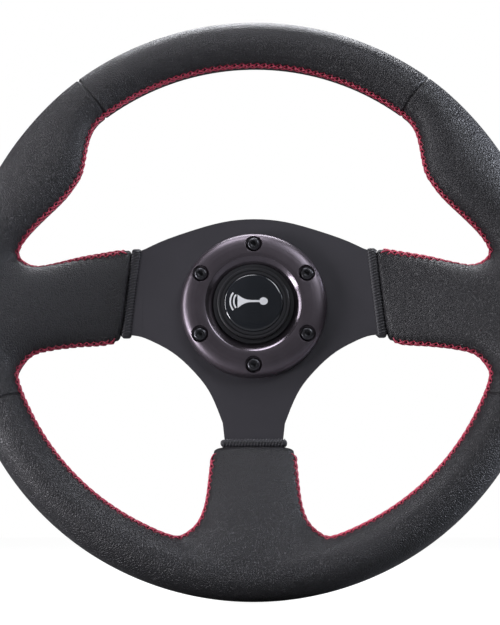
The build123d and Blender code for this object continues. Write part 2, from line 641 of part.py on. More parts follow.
def lock_ball(index):
    turn = math.radians(index * 360 / BALL_COUNT)
    place = Pos(BALL_LOCKED_R * math.sin(turn), -BALL_PLANE, BALL_LOCKED_R * math.cos(turn))
    return place * Sphere(BALL_R)


# Horn contact through the release ----------------------------------------------------------------

def contact_carrier():
    """Plastic ring behind the horn housing that holds the spring contact pin."""
    body = ring(CONTACT_R - CARRIER_WALL, RECESS_R, CARRIER_REAR, CARRIER_FRONT)
    body -= rod(PIN_R + PIN_CLEARANCE, CONTACT_R, 0, CARRIER_REAR - 1, CARRIER_FRONT)
    return body - rod(PIN_HEAD_R + PIN_CLEARANCE, CONTACT_R, 0, PIN_SEAT, CARRIER_FRONT)


def contact_pin():
    shank = rod(PIN_R, CONTACT_R, 0, TRACK_FRONT, PIN_SEAT)
    return shank + rod(PIN_HEAD_R, CONTACT_R, 0, PIN_SEAT, PIN_SEAT + PIN_HEAD)


def contact_ring(width, rear, front):
    """Flat ring on the nose's front face."""
    return ring(CONTACT_R - width / 2, CONTACT_R + width / 2, rear, front)


# Write every piece -------------------------------------------------------------------------------

plate = spoke_plate()
hoop = hoop_envelope()
inner_form = grip_solid(LEATHER)
leather = grip_solid(0) - inner_form
right_hem = side_hem(plate)

pieces = {
    "rim_hoop": rim_hoop(),
    "spoke_plate": plate,
    "rim_foam": inner_form - hoop - plate,
    "leather_top": leather & sector(-SEAM_UPPER, SEAM_UPPER),
    "leather_right": leather & sector(SEAM_UPPER, SEAM_LOWER),
    "leather_left": leather & sector(-SEAM_LOWER, -SEAM_UPPER),
    "leather_bottom": leather & sector(SEAM_LOWER, 360 - SEAM_LOWER),
    "hem_right": right_hem,
    "hem_left": mirror(right_hem, Plane.YZ),
    "hem_bottom": bottom_hem(plate),
    "horn_ring": horn_ring(),
    "wheel_bolts": wheel_bolts(),
    "horn_housing": horn_housing(),
    "horn_cap": horn_cap(),
    "horn_lens": horn_lens(),
    "horn_spring": coil(HORN_SPRING_R, HORN_SPRING_WIRE_R, HORN_FLOOR_PLANE, CAP_UNDER, 3),
    "horn_moving_contact": moving_contact(),
    "horn_feed_contact": fixed_contact(1),
    "horn_earth_contact": fixed_contact(-1),
    "feed_strip": contact_strip(1, CONTACT_R + STRIP_OVERHANG),
    "earth_strip": contact_strip(-1, HORN_R - 0.2),
    "contact_carrier": contact_carrier(),
    "contact_pin": contact_pin(),
    "contact_pin_spring": Pos(CONTACT_R, 0, 0) * coil(1.2, 0.2, PIN_SEAT + PIN_HEAD, CARRIER_FRONT, 4),
    "contact_insulator": contact_ring(INSULATOR_WIDTH, NOSE_END, NOSE_END + INSULATOR_THICK),
    "contact_track": contact_ring(TRACK_WIDTH, NOSE_END + INSULATOR_THICK, TRACK_FRONT),
    "release_base": release_base(),
    "release_socket": release_socket(),
    "release_collar": release_collar(),
    "collar_spring": coil(SKIRT_R + SPRING_OFF_SKIRT, SPRING_WIRE_R, COLLAR_FRONT, NOSE_END, SPRING_TURNS),
    "snap_ring": snap_ring(),
}
for number in range(BALL_COUNT):
    pieces[f"lock_ball_{number + 1}"] = lock_ball(number)

os.makedirs("parts", exist_ok=True)
for name, shape in pieces.items():
    export_step(shape, f"parts/{name}.step")
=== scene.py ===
import math

import bpy
import numpy as np
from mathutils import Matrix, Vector
from mathutils.bvhtree import BVHTree
from mathutils.kdtree import KDTree


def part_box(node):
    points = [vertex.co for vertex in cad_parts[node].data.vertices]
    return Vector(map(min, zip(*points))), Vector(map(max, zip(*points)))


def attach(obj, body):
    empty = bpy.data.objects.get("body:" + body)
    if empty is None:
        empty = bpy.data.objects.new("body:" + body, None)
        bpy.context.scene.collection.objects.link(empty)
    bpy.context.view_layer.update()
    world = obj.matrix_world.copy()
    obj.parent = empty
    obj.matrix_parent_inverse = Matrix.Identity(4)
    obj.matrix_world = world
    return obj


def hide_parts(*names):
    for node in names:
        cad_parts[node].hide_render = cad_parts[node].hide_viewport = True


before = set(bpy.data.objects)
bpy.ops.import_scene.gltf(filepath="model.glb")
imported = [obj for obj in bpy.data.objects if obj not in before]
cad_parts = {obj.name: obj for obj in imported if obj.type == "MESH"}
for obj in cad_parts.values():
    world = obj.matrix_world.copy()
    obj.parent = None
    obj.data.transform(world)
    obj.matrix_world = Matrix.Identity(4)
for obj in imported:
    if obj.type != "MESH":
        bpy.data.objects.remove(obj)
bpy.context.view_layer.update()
mm = 0.001


# ---- Rim hoop ----
# A ring of cold-drawn steel tube, rolled and welded end to end. It stiffens the rim and is buried in
# the foam, so it keeps the grey scale and oil of the mill.

def finish_named(name, colour, roughness, **sockets):
    """A new material, its node tree and its shader."""
    made = bpy.data.materials.new(name)
    made.use_nodes = True
    tree = made.node_tree
    shader = tree.nodes["Principled BSDF"]
    shader.inputs["Base Color"].default_value = (*colour, 1)
    shader.inputs["Roughness"].default_value = roughness
    for socket, value in sockets.items():
        shader.inputs[socket.replace("_", " ")].default_value = value
    return made, tree, shader


def put(tree, kind, inputs=(), **settings):
    """Adds a node; each input is a constant or another node's output."""
    node = tree.nodes.new(kind)
    for name, value in settings.items():
        setattr(node, name, value)
    for name, value in dict(inputs).items():
        if isinstance(value, bpy.types.NodeSocket):
            tree.links.new(value, node.inputs[name])
        else:
            node.inputs[name].default_value = value
    return node


def speckle(tree, scale, detail=3.0, roughness=0.6):
    """Noise in the piece's own coordinates, in cells per metre."""
    place = put(tree, "ShaderNodeTexCoord").outputs["Object"]
    inputs = {"Vector": place, "Scale": scale, "Detail": detail, "Roughness": roughness}
    return put(tree, "ShaderNodeTexNoise", inputs).outputs["Fac"]


def between(tree, factor, low, high):
    """Spreads a 0 to 1 factor from low to high."""
    inputs = {"Value": factor, "To Min": low, "To Max": high}
    return put(tree, "ShaderNodeMapRange", inputs).outputs["Result"]


def tint(tree, factor, first, second):
    """Mixes two colours."""
    node = put(tree, "ShaderNodeMix", {"Factor": factor}, data_type="RGBA")
    node.inputs["A"].default_value = (*first, 1)
    node.inputs["B"].default_value = (*second, 1)
    return node.outputs["Result"]


def emboss(tree, shader, height, depth, strength=1.0):
    """Surface relief of a real depth in metres."""
    inputs = {"Height": height, "Distance": depth, "Strength": strength}
    tree.links.new(put(tree, "ShaderNodeBump", inputs).outputs["Normal"], shader.inputs["Normal"])


def dress(finish, *names):
    """Gives CAD nodes a material."""
    for name in names:
        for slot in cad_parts[name].material_slots:
            slot.material = finish


mill_steel, tree, shader = finish_named("mill_steel", (0.16, 0.155, 0.15), 0.45, Metallic=0.9)
scale_marks = speckle(tree, 260.0)
tree.links.new(tint(tree, scale_marks, (0.10, 0.098, 0.10), (0.24, 0.23, 0.22)), shader.inputs["Base Color"])
tree.links.new(between(tree, scale_marks, 0.35, 0.6), shader.inputs["Roughness"])
emboss(tree, shader, scale_marks, 0.05 * mm)
dress(mill_steel, "rim_hoop")


# ---- Spoke plate ----
# One flat blank of 4 mm aluminium sheet, cut to shape with its three arms bent forward to the hoop.
# It is bead blasted and then dyed black in the anodising bath, which leaves a fine matt tooth.

blasted_black, tree, shader = finish_named("blasted_black", (0.05, 0.048, 0.056), 0.55, Metallic=0.35)
tooth = speckle(tree, 2600.0, 2.0)
patches = speckle(tree, 38.0, 2.0)
tree.links.new(tint(tree, patches, (0.047, 0.045, 0.052), (0.062, 0.059, 0.068)), shader.inputs["Base Color"])
tree.links.new(between(tree, tooth, 0.46, 0.66), shader.inputs["Roughness"])
emboss(tree, shader, tooth, 0.03 * mm)
dress(blasted_black, "spoke_plate")


# ---- Foam ----
# Polyurethane foam moulded round the hoop and the arms, firm enough to hold the thumb grips and the
# three sleeves. The leather is glued to it, so only the cut edges under the seams ever show it.

RIM_PLANE = 74.0        # middle of the rim, ahead of the mounting face
RIM_OUTER = 162.5
RIM_HALF_DEPTH = 14.0
HEM_TOP = (71.0, 33.0)      # where the right sleeve starts, top and foot (x, z)
HEM_FOOT = (75.9, -17.0)


def smooth(t):
    t = np.clip(t, 0.0, 1.0)
    return t * t * (3 - 2 * t)


def rim_width(angle):
    """Radial width of the rim at an angle from the top: plain, with a thumb grip at ten and two."""
    swell = smooth((angle - 40.0) / 16.0) * (1 - smooth((angle - 58.5) / 24.5))
    return 26.5 + 16.1 * swell


def arm_ahead(distance):
    """How far ahead of the mounting face the middle of an arm is."""
    return 48.0 + 26.0 * max(0.0, distance - 76.0) / 66.25


def alone(piece):
    bpy.ops.object.select_all(action="DESELECT")
    piece.select_set(True)
    bpy.context.view_layer.objects.active = piece


def points(piece):
    """The piece's vertices, in millimetres."""
    flat = np.empty(len(piece.data.vertices) * 3)
    piece.data.vertices.foreach_get("co", flat)
    return flat.reshape(-1, 3) / mm


def set_points(piece, where):
    piece.data.vertices.foreach_set("co", (where * mm).ravel())
    piece.data.update()


bpy.ops.object.select_all(action="DESELECT")
bpy.ops.mesh.primitive_torus_add(
    location=(0, -RIM_PLANE * mm, 0), rotation=(math.pi / 2, 0, 0), major_radius=149.25 * mm,
    minor_radius=13.0 * mm, major_segments=288, minor_segments=48,
)
foam = bpy.context.object
foam.name = "foam_core"
bpy.ops.object.transform_apply()
place = points(foam)
radius = np.hypot(place[:, 0], place[:, 2])
angle = np.degrees(np.arctan2(np.abs(place[:, 0]), place[:, 2]))
across, ahead = (radius - 149.25) / 13.0, (place[:, 1] + RIM_PLANE) / 13.0
half = rim_width(angle) / 2
grown = (RIM_OUTER - half + half * across) / radius
place[:, 0] *= grown
place[:, 2] *= grown
place[:, 1] = -RIM_PLANE + RIM_HALF_DEPTH * ahead
set_points(foam, place)


def arm_pad(stations, slant, turn):
    """A padded sleeve out along +X from (distance, lower, upper, depth) stations, then turned."""
    sides, count = 72, len(stations)
    bpy.ops.object.select_all(action="DESELECT")
    bpy.ops.mesh.primitive_cylinder_add(vertices=sides, radius=1.0, depth=1.0)
    pad = bpy.context.object
    bpy.ops.object.mode_set(mode="EDIT")
    bpy.context.tool_settings.mesh_select_mode = (False, True, False)
    bpy.ops.mesh.select_all(action="DESELECT")
    bpy.ops.object.mode_set(mode="OBJECT")
    for edge in pad.data.edges:
        a, b = (pad.data.vertices[v].co for v in edge.vertices)
        edge.select = abs(a.z - b.z) > 0.5
    bpy.ops.object.mode_set(mode="EDIT")
    bpy.ops.mesh.subdivide(number_cuts=count - 2)
    bpy.ops.object.mode_set(mode="OBJECT")
    for vertex in pad.data.vertices:
        x, y, z = vertex.co
        distance, lower, upper, depth = stations[round((z + 0.5) * (count - 1))]
        c, s = x / math.hypot(x, y), y / math.hypot(x, y)
        high = (upper + lower) / 2 + (upper - lower) / 2 * math.copysign(abs(c) ** 0.72, c)
        out = depth / 2 * math.copysign(abs(s) ** 0.72, s)
        lean = max(0.0, 1 - (distance - stations[0][0]) / 26.0) * slant
        along = distance + lean * (high - 8.0)
        middle = -arm_ahead(along)
        vertex.co = Vector((along, middle + out, high)) * mm
    if turn:
        for vertex in pad.data.vertices:
            x, y, z = vertex.co
            vertex.co = (z, y, -x) if turn == "down" else (-x, y, z)
    return pad


side_stations = [
    (73.4, -15.8, 31.4, 8.4), (74.1, -18.4, 33.3, 10.4), (75.4, -20.0, 34.0, 11.6), (77.6, -21.2, 33.8, 12.1),
    (84.0, -22.7, 31.6, 13.2), (98.0, -24.2, 27.0, 15.4), (110.0, -26.3, 22.5, 18.2), (118.0, -28.6, 20.0, 20.2),
    (122.0, -30.6, 19.2, 21.2), (125.0, -33.2, 19.3, 21.8), (128.0, -38.2, 20.2, 22.4), (131.0, -45.0, 22.6, 23.0),
    (134.0, -50.0, 26.4, 23.6), (141.0, -54.0, 31.0, 25.0),
]
foot_stations = [
    (80.5, -17.8, 17.8, 8.4), (81.2, -20.6, 20.6, 10.4), (82.6, -22.2, 22.2, 11.7), (85.0, -23.0, 23.0, 12.6),
    (94.0, -23.7, 23.7, 15.0), (105.0, -24.5, 24.5, 17.6), (113.0, -25.6, 25.6, 19.4), (118.5, -27.4, 27.4, 20.6),
    (122.0, -29.2, 29.2, 21.2), (125.5, -32.2, 32.2, 22.0), (128.5, -36.6, 36.6, 22.8), (131.5, -42.5, 42.5, 23.4),
    (141.0, -48.0, 48.0, 25.0),
]
slope = (HEM_TOP[0] - HEM_FOOT[0]) / (HEM_TOP[1] - HEM_FOOT[1])
pads = [
    arm_pad(side_stations, slope, ""),
    arm_pad(side_stations, slope, "left"),
    arm_pad(foot_stations, 0.0, "down"),
]
for pad in pads:
    alone(pad)
    bpy.ops.object.mode_set(mode="EDIT")
    bpy.ops.mesh.select_all(action="SELECT")
    bpy.ops.mesh.normals_make_consistent(inside=False)
    bpy.ops.object.mode_set(mode="OBJECT")
alone(foam)
for pad in pads:
    pad.select_set(True)
bpy.ops.object.join()


def settle(piece, kind, **settings):
    """Adds a modifier and applies it."""
    modifier = piece.modifiers.new(kind.lower(), kind)
    for name, value in settings.items():
        setattr(modifier, name, value)
    alone(piece)
    bpy.ops.object.modifier_apply(modifier=modifier.name)


settle(foam, "REMESH", mode="VOXEL", voxel_size=1.1 * mm)
settle(foam, "SMOOTH", factor=0.5, iterations=7)
place = points(foam)
radius = np.hypot(place[:, 0], place[:, 2])
angle = np.degrees(np.arctan2(np.abs(place[:, 0]), place[:, 2]))
near_side = smooth(1 - (np.abs(angle - 94.0) - 16.0) / 8.0)
near_foot = smooth(1 - (np.abs(angle - 180.0) - 18.0) / 8.0)
near_rim = smooth(1 - np.abs(radius - 134.0) / 16.0)
fillet = foam.vertex_groups.new(name="fillet")
for index, weight in enumerate(near_rim * np.maximum(near_side, near_foot)):
    if weight > 0.02:
        fillet.add([index], float(weight), "REPLACE")
settle(foam, "SMOOTH", factor=0.5, iterations=60, vertex_group="fillet")
foam.vertex_groups.clear()


skin = foam.copy()
skin.data = foam.data.copy()
skin.name = "cover_top"
bpy.context.scene.collection.objects.link(skin)
settle(foam, "DISPLACE", strength=-1.3 * mm, mid_level=0.0)

moulded_foam, tree, shader = finish_named("moulded_foam", (0.05, 0.05, 0.052), 0.9)
cells = speckle(tree, 1500.0, 4.0)
tree.links.new(tint(tree, cells, (0.03, 0.03, 0.032), (0.075, 0.074, 0.072)), shader.inputs["Base Color"])
emboss(tree, shader, cells, 0.12 * mm)
foam.data.materials.clear()
foam.data.materials.append(moulded_foam)
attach(foam, "wheel")
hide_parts("rim_foam")


# ---- Leather ----
# Four panels of 1.3 mm black cowhide, butted at seams over and under the grips and stretched round
# the foam. Their edges meet along the windows, where the thread draws them down into a furrow.

def window_edge(tree, centre, first, last):
    """The line round a window that faces its middle, as (points, normals) in millimetres."""
    found = []
    for turn in np.radians(np.arange(first, last, 0.4)):
        ray = Vector((math.cos(turn), 0, math.sin(turn)))
        hits = []
        for ahead in range(44, 89):
            start = Vector((centre[0], -ahead, centre[1]))
            hit = tree.ray_cast(start * mm, ray, 0.2)
            if hit[0] is not None:
                hits.append((hit[3] / mm, ahead))
        if hits:
            nearest = min(hits)[0]
            level = [ahead for far, ahead in hits if far < nearest + 0.6]
            where = np.array(centre) + nearest * np.array((ray.x, ray.z))
            forward = 2.0 if np.hypot(*where) > 120 else 1.0
            found.append((turn, sum(level) / len(level) + forward))
    aheads = np.array([ahead for _, ahead in found])
    aheads = np.convolve(np.pad(aheads, 10, mode="edge"), np.ones(21) / 21, mode="valid")
    line, outs = [], []
    for (turn, _), ahead in zip(found, aheads):
        ray = Vector((math.cos(turn), 0, math.sin(turn)))
        hit = tree.ray_cast(Vector((centre[0], -ahead, centre[1])) * mm, ray, 0.2)
        x, z = hit[0].x / mm, hit[0].z / mm
        on_rim = math.hypot(x, z) > 119.0
        past_side = z > -60 and abs(x) - (HEM_TOP[0] + slope * (z - HEM_TOP[1])) > 2.5
        if on_rim or past_side or z < -84.0:
            line.append(hit[0] / mm)
            outs.append(hit[1])
    line, outs = np.array(line), np.array(outs)
    run = np.concatenate(([0], np.cumsum(np.linalg.norm(np.diff(line, axis=0), axis=1))))
    even = np.linspace(0, run[-1], max(2, round(run[-1])))
    box = np.ones(5) / 5
    line = np.array([np.interp(even, run, line[:, k]) for k in range(3)]).T
    outs = np.array([np.interp(even, run, outs[:, k]) for k in range(3)]).T
    outs = np.array([np.convolve(np.pad(outs[:, k], 2, mode="edge"), box, mode="valid") for k in range(3)]).T
    outs /= np.linalg.norm(outs, axis=1)[:, None]
    return line, outs


surface = BVHTree.FromObject(skin, bpy.context.evaluated_depsgraph_get())
seam_lines = [
    window_edge(surface, (0.0, 85.0), -36.0, 216.0),
    window_edge(surface, (70.0, -75.0), -170.0, 86.0),
    window_edge(surface, (-70.0, -75.0), 94.0, 350.0),
]
PITCH = 4.3      # from one hole to the next; a strand spans two
REACH = 2.1     # from the furrow to each row of stitch holes
seams = []
for line, outs in seam_lines:
    along = np.gradient(line, axis=0)
    along /= np.linalg.norm(along, axis=1)[:, None]
    sides = np.cross(along, outs)
    sides /= np.linalg.norm(sides, axis=1)[:, None]
    run = np.concatenate(([0], np.cumsum(np.linalg.norm(np.diff(line, axis=0), axis=1))))
    seams.append((line, outs, along, sides, run, run[-1] / round(run[-1] / PITCH)))


def near_seams(where, reach):
    """For points in millimetres: distance along and across the nearest furrow, and its stitch pitch."""
    tree = KDTree(sum(len(line) for line, *_ in seams))
    index = []
    for number, (line, *_) in enumerate(seams):
        for spot, point in enumerate(line):
            tree.insert(point, len(index))
            index.append((number, spot))
    tree.balance()
    result = np.full((len(where), 3), 1000.0)
    for k, point in enumerate(where):
        _, found, far = tree.find(point)
        if far < reach:
            number, spot = index[found]
            line, outs, along, sides, run, pitch = seams[number]
            offset = point - line[spot]
            result[k] = run[spot] + offset @ along[spot], offset @ sides[spot], pitch
    return result


def pick_faces(piece, chosen):
    alone(piece)
    piece.data.polygons.foreach_set("select", chosen)
    bpy.context.tool_settings.mesh_select_mode = (False, False, True)
    bpy.ops.object.mode_set(mode="EDIT")


def face_middles(piece):
    flat = np.empty(len(piece.data.polygons) * 3)
    piece.data.polygons.foreach_get("center", flat)
    return flat.reshape(-1, 3) / mm


middles = face_middles(skin)
pick_faces(skin, near_seams(middles, 6.0)[:, 2] < 900)
bpy.ops.mesh.subdivide(number_cuts=1)
bpy.ops.object.mode_set(mode="OBJECT")

BUTT_SEAMS = (38.5, 113.0, 247.0, 321.5)    # degrees from the top
for degrees in BUTT_SEAMS:
    turn = math.radians(degrees)
    ray, way = Vector((math.sin(turn), 0, math.cos(turn))), Vector((math.cos(turn), 0, -math.sin(turn)))
    for offset in (-1.1, -0.6, -0.2, 0.2, 0.6, 1.1):
        middles = face_middles(skin)
        pick_faces(skin, (middles @ np.array(ray) > 90) & (np.abs(middles @ np.array(way) - offset) < 3))
        bpy.ops.mesh.bisect(plane_co=way * offset * mm, plane_no=way, threshold=1e-7)
        bpy.ops.object.mode_set(mode="OBJECT")

place = points(skin)
normals = np.empty(len(place) * 3)
skin.data.vertex_normals.foreach_get("vector", normals)
normals = normals.reshape(-1, 3)
run, across, pitch = near_seams(place, 12.0).T
beside = across < 900
across, phase = np.abs(across), np.where(beside, run / pitch, 0.0)
hole = (phase - np.round(phase)) * pitch
lift = -0.6 * np.exp(-((across / 0.6) ** 2))
lift -= 0.5 * np.exp(-(hole ** 2 + (across - REACH) ** 2) / 0.8 ** 2)
lift += 0.12 * np.exp(-(((across - 1.35) / 0.8) ** 2)) * (0.5 - 0.5 * np.cos(2 * np.pi * phase))
pucker = 0.10 * np.cos(2 * np.pi * phase)
lift -= pucker * smooth((across - 1.8) / 1.2) * np.exp(-np.maximum(across - 3.0, 0) / 2.0)
lift = np.where(beside, lift, 0.0)
# Painted shade: a darkening that fades out across each stitched furrow and fills the gaps of the butt seams below.
shadow = np.where(beside, np.exp(-((across / 3.2) ** 2)), 0.0)
for degrees in BUTT_SEAMS:
    turn = math.radians(degrees)
    ray, way = np.array((math.sin(turn), 0, math.cos(turn))), np.array((math.cos(turn), 0, -math.sin(turn)))
    gap = np.where(place @ ray > 90, np.clip(1 - np.abs(place @ way) / 1.1, 0, 1), 0)
    lift -= 0.9 * gap ** 1.4
    shadow = np.maximum(shadow, gap)
set_points(skin, place + normals * lift[:, None])
# The painted shade is kept as a point attribute for the leather's colour.
painted_shade_layer = skin.data.attributes.new("painted_furrow_shade", "FLOAT", "POINT")
painted_shade_layer.data.foreach_set("value", shadow.astype(np.float32))

leather, tree, shader = finish_named("black_leather", (0.02, 0.02, 0.022), 0.5)
coords = put(tree, "ShaderNodeTexCoord").outputs["Object"]
wander = put(tree, "ShaderNodeTexNoise", {"Vector": coords, "Scale": 500.0, "Detail": 2.0}).outputs["Color"]
bend = {0: wander, 1: (0.0011, 0.0011, 0.0011)}
bent = put(tree, "ShaderNodeVectorMath", bend, operation="MULTIPLY").outputs[0]
bent = put(tree, "ShaderNodeVectorMath", {0: coords, 1: bent}, operation="ADD").outputs[0]
pebble = put(tree, "ShaderNodeTexVoronoi", {"Vector": bent, "Scale": 820.0}, feature="DISTANCE_TO_EDGE")
pebble = put(tree, "ShaderNodeMapRange", {"Value": pebble.outputs["Distance"], "From Max": 0.22},
             interpolation_type="SMOOTHSTEP").outputs["Result"]
fine = speckle(tree, 2400.0, 3.0)
broad = speckle(tree, 55.0, 3.0)
painted_furrow_shade = put(tree, "ShaderNodeAttribute", attribute_name="painted_furrow_shade").outputs["Fac"]
relief = put(tree, "ShaderNodeMath", {0: fine, 1: 0.35, 2: pebble}, operation="MULTIPLY_ADD").outputs[0]
relief = put(tree, "ShaderNodeMath", {0: broad, 1: 1.2, 2: relief}, operation="MULTIPLY_ADD").outputs[0]
emboss(tree, shader, relief, 0.2 * mm)
shade = tint(tree, broad, (0.013, 0.0125, 0.015), (0.022, 0.021, 0.025))
crease = put(tree, "ShaderNodeMix", {"Factor": pebble}, data_type="RGBA")
crease.inputs["A"].default_value = (0.008, 0.008, 0.009, 1)
tree.links.new(shade, crease.inputs["B"])
# Painted shade: the leather's colour goes near black where the furrow shade attribute is high, along the furrows
# and in the seam gaps.
edge = put(tree, "ShaderNodeMix", {"Factor": painted_furrow_shade}, data_type="RGBA")
tree.links.new(crease.outputs["Result"], edge.inputs["A"])
edge.inputs["B"].default_value = (0.006, 0.005, 0.006, 1)
tree.links.new(edge.outputs["Result"], shader.inputs["Base Color"])
tree.links.new(between(tree, relief, 0.62, 0.44), shader.inputs["Roughness"])

skin.data.materials.clear()
skin.data.materials.append(leather)
panels = [("top", 321.5, 38.5), ("right", 38.5, 113.0), ("bottom", 113.0, 247.0), ("left", 247.0, 321.5)]
for side, first, last in panels:
    panel = skin
    if side != "left":
        panel = skin.copy()
        panel.data = skin.data.copy()
        bpy.context.scene.collection.objects.link(panel)
    panel.name = "cover_" + side
    for degrees, keep in ((first, 1), (last, -1)):
        turn = math.radians(degrees)
        way = keep * Vector((math.cos(turn), 0, -math.sin(turn)))
        pick_faces(panel, np.ones(len(panel.data.polygons), bool))
        bpy.ops.mesh.bisect(plane_co=(0, 0, 0), plane_no=way, clear_inner=True, threshold=1e-7)
        bpy.ops.object.mode_set(mode="OBJECT")
    settle(panel, "SOLIDIFY", thickness=1.2 * mm, offset=-1.0, use_even_offset=False)
    alone(panel)
    bpy.ops.object.shade_smooth_by_angle(angle=math.radians(55))
    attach(panel, "wheel")
    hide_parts("leather_" + side)


# ---- Cross stitching ----
# Waxed crimson thread, 0.9 mm thick, laced by hand through both rows of holes round each window.
# Every pair of strands crosses over the furrow, and its ends pull down into the leather.

red_thread, tree, shader = finish_named(
    "red_thread", (0.45, 0.02, 0.06), 0.45, Sheen_Weight=0.35, Sheen_Roughness=0.4)
wrap = put(tree, "ShaderNodeUVMap").outputs["UV"]
twist = {"Vector": wrap, "Scale": 2.6, "Distortion": 0.4}
ply = put(tree, "ShaderNodeTexWave", twist, bands_direction="DIAGONAL")
dyed = tint(tree, ply.outputs["Fac"], (0.30, 0.010, 0.035), (0.68, 0.06, 0.13))
tree.links.new(dyed, shader.inputs["Base Color"])
emboss(tree, shader, ply.outputs["Fac"], 0.09 * mm)

bpy.ops.object.select_all(action="DESELECT")
bpy.ops.mesh.primitive_cylinder_add(vertices=6, radius=1.0, depth=1.0)
strand = bpy.context.object
bpy.context.tool_settings.mesh_select_mode = (False, True, False)
bpy.ops.object.mode_set(mode="EDIT")
bpy.ops.mesh.select_all(action="DESELECT")
bpy.ops.object.mode_set(mode="OBJECT")
for edge in strand.data.edges:
    a, b = (strand.data.vertices[v].co for v in edge.vertices)
    edge.select = abs(a.z - b.z) > 0.5
bpy.ops.object.mode_set(mode="EDIT")
bpy.ops.mesh.subdivide(number_cuts=5)
bpy.ops.object.mode_set(mode="OBJECT")
bpy.ops.object.shade_smooth()
strand_shape = np.array([vertex.co for vertex in strand.data.vertices])


def lay_strand(name, middles, outs, radius):
    """One strand through seven middles with their outward directions, in millimetres."""
    laid = strand.copy()
    laid.data = strand.data.copy()
    laid.name = name
    bpy.context.scene.collection.objects.link(laid)
    middles, outs = np.array(middles), np.array(outs)
    way = np.gradient(middles, axis=0)
    way /= np.linalg.norm(way, axis=1)[:, None]
    flank = np.cross(way, outs)
    flank /= np.linalg.norm(flank, axis=1)[:, None]
    rise = np.cross(flank, way)
    ring = np.round((strand_shape[:, 2] + 0.5) * 6).astype(int)
    slim = radius * np.where((ring == 0) | (ring == 6), 0.6, 1.0)[:, None]
    where = middles[ring] + slim * (strand_shape[:, :1] * flank[ring] + strand_shape[:, 1:2] * rise[ring])
    set_points(laid, where)
    return laid


def gather(name, pieces, finish):
    """Joins pieces into one object that rides on the wheel."""
    alone(pieces[0])
    for piece in pieces:
        piece.select_set(True)
    bpy.ops.object.join()
    pieces[0].name = name
    pieces[0].data.materials.clear()
    pieces[0].data.materials.append(finish)
    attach(pieces[0], "wheel")
    return pieces[0]


for name, (line, outs, along, sides, run, pitch) in zip(("upper", "right", "left"), seams):
    strands = []
    for count in range(1, round(run[-1] / pitch)):
        for hand in (-1, 1):
            middles, ups = [], []
            for share in np.linspace(-0.5, 0.5, 7):
                spot = np.interp((count + 1.96 * share) * pitch, run, np.arange(len(run)))
                base, part = int(spot), spot - int(spot)
                ahead = min(base + 1, len(line) - 1)
                over = sides[base] * hand * share * 2 * REACH
                point = line[base] * (1 - part) + line[ahead] * part + over
                out = outs[base] * (1 - part) + outs[ahead] * part
                hit = surface.ray_cast(Vector((point + out * 6) * mm), Vector(-out), 0.02)
                if hit[0] is not None:
                    point, out = np.array(hit[0]) / mm, np.array(hit[1])
                arch = 1 - (2 * share) ** 2
                height = 0.2 + (0.42 if hand > 0 else 0.0) * arch - 0.7 * (abs(share) > 0.45)
                middles.append(point + out * height)
                ups.append(out)
            strands.append(lay_strand("strand", middles, ups, 0.5))
    gather("stitching_" + name, strands, red_thread)


# ---- Hem strips ----
# A folded strip of leather wrapped round each arm where its sleeve starts, whipped down with black
# thread. The wraps lie slantwise and close together over the fold, front and back.

whip_black, tree, shader = finish_named(
    "black_thread", (0.02, 0.02, 0.024), 0.42, Sheen_Weight=0.3, Sheen_Roughness=0.4)
wrap = put(tree, "ShaderNodeUVMap").outputs["UV"]
twist = {"Vector": wrap, "Scale": 2.2, "Distortion": 0.4}
ply = put(tree, "ShaderNodeTexWave", twist, bands_direction="DIAGONAL")
dyed = tint(tree, ply.outputs["Fac"], (0.012, 0.012, 0.014), (0.05, 0.05, 0.058))
tree.links.new(dyed, shader.inputs["Base Color"])
emboss(tree, shader, ply.outputs["Fac"], 0.06 * mm)

hem_leather, tree, shader = finish_named("hem_leather", (0.026, 0.025, 0.029), 0.5)
nap = speckle(tree, 1300.0, 4.0)
tree.links.new(tint(tree, nap, (0.018, 0.017, 0.02), (0.036, 0.035, 0.04)), shader.inputs["Base Color"])
tree.links.new(between(tree, nap, 0.42, 0.6), shader.inputs["Roughness"])
emboss(tree, shader, nap, 0.08 * mm)


def hem_strip(name, width):
    """A rounded strip that fills the box of its CAD node, its ends on the node's slant."""
    low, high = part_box(name)
    middle, size = (low + high) / 2, high - low
    slanted = name != "hem_bottom"
    bpy.ops.object.select_all(action="DESELECT")
    bpy.ops.mesh.primitive_cube_add(size=1.0, location=middle)
    strip = bpy.context.object
    strip.name = name.replace("hem", "hem_strip")
    strip.scale = (width * mm if slanted else size.x, size.y, size.z if slanted else width * mm)
    bpy.ops.object.transform_apply()
    if slanted:
        lean = (size.x - width * mm) / size.z * (-1 if middle.x > 0 else 1)
        for vertex in strip.data.vertices:
            vertex.co.x += lean * (vertex.co.z - middle.z)
    bpy.ops.object.mode_set(mode="EDIT")
    bpy.ops.mesh.select_all(action="SELECT")
    bpy.ops.mesh.bevel(offset=1.7 * mm, segments=5, profile=0.5, affect="EDGES")
    bpy.ops.object.mode_set(mode="OBJECT")
    bpy.ops.object.shade_smooth_by_angle(angle=math.radians(60))
    strip.data.materials.clear()
    strip.data.materials.append(hem_leather)
    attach(strip, "wheel")
    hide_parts(name)
    return strip, middle / mm, size / mm


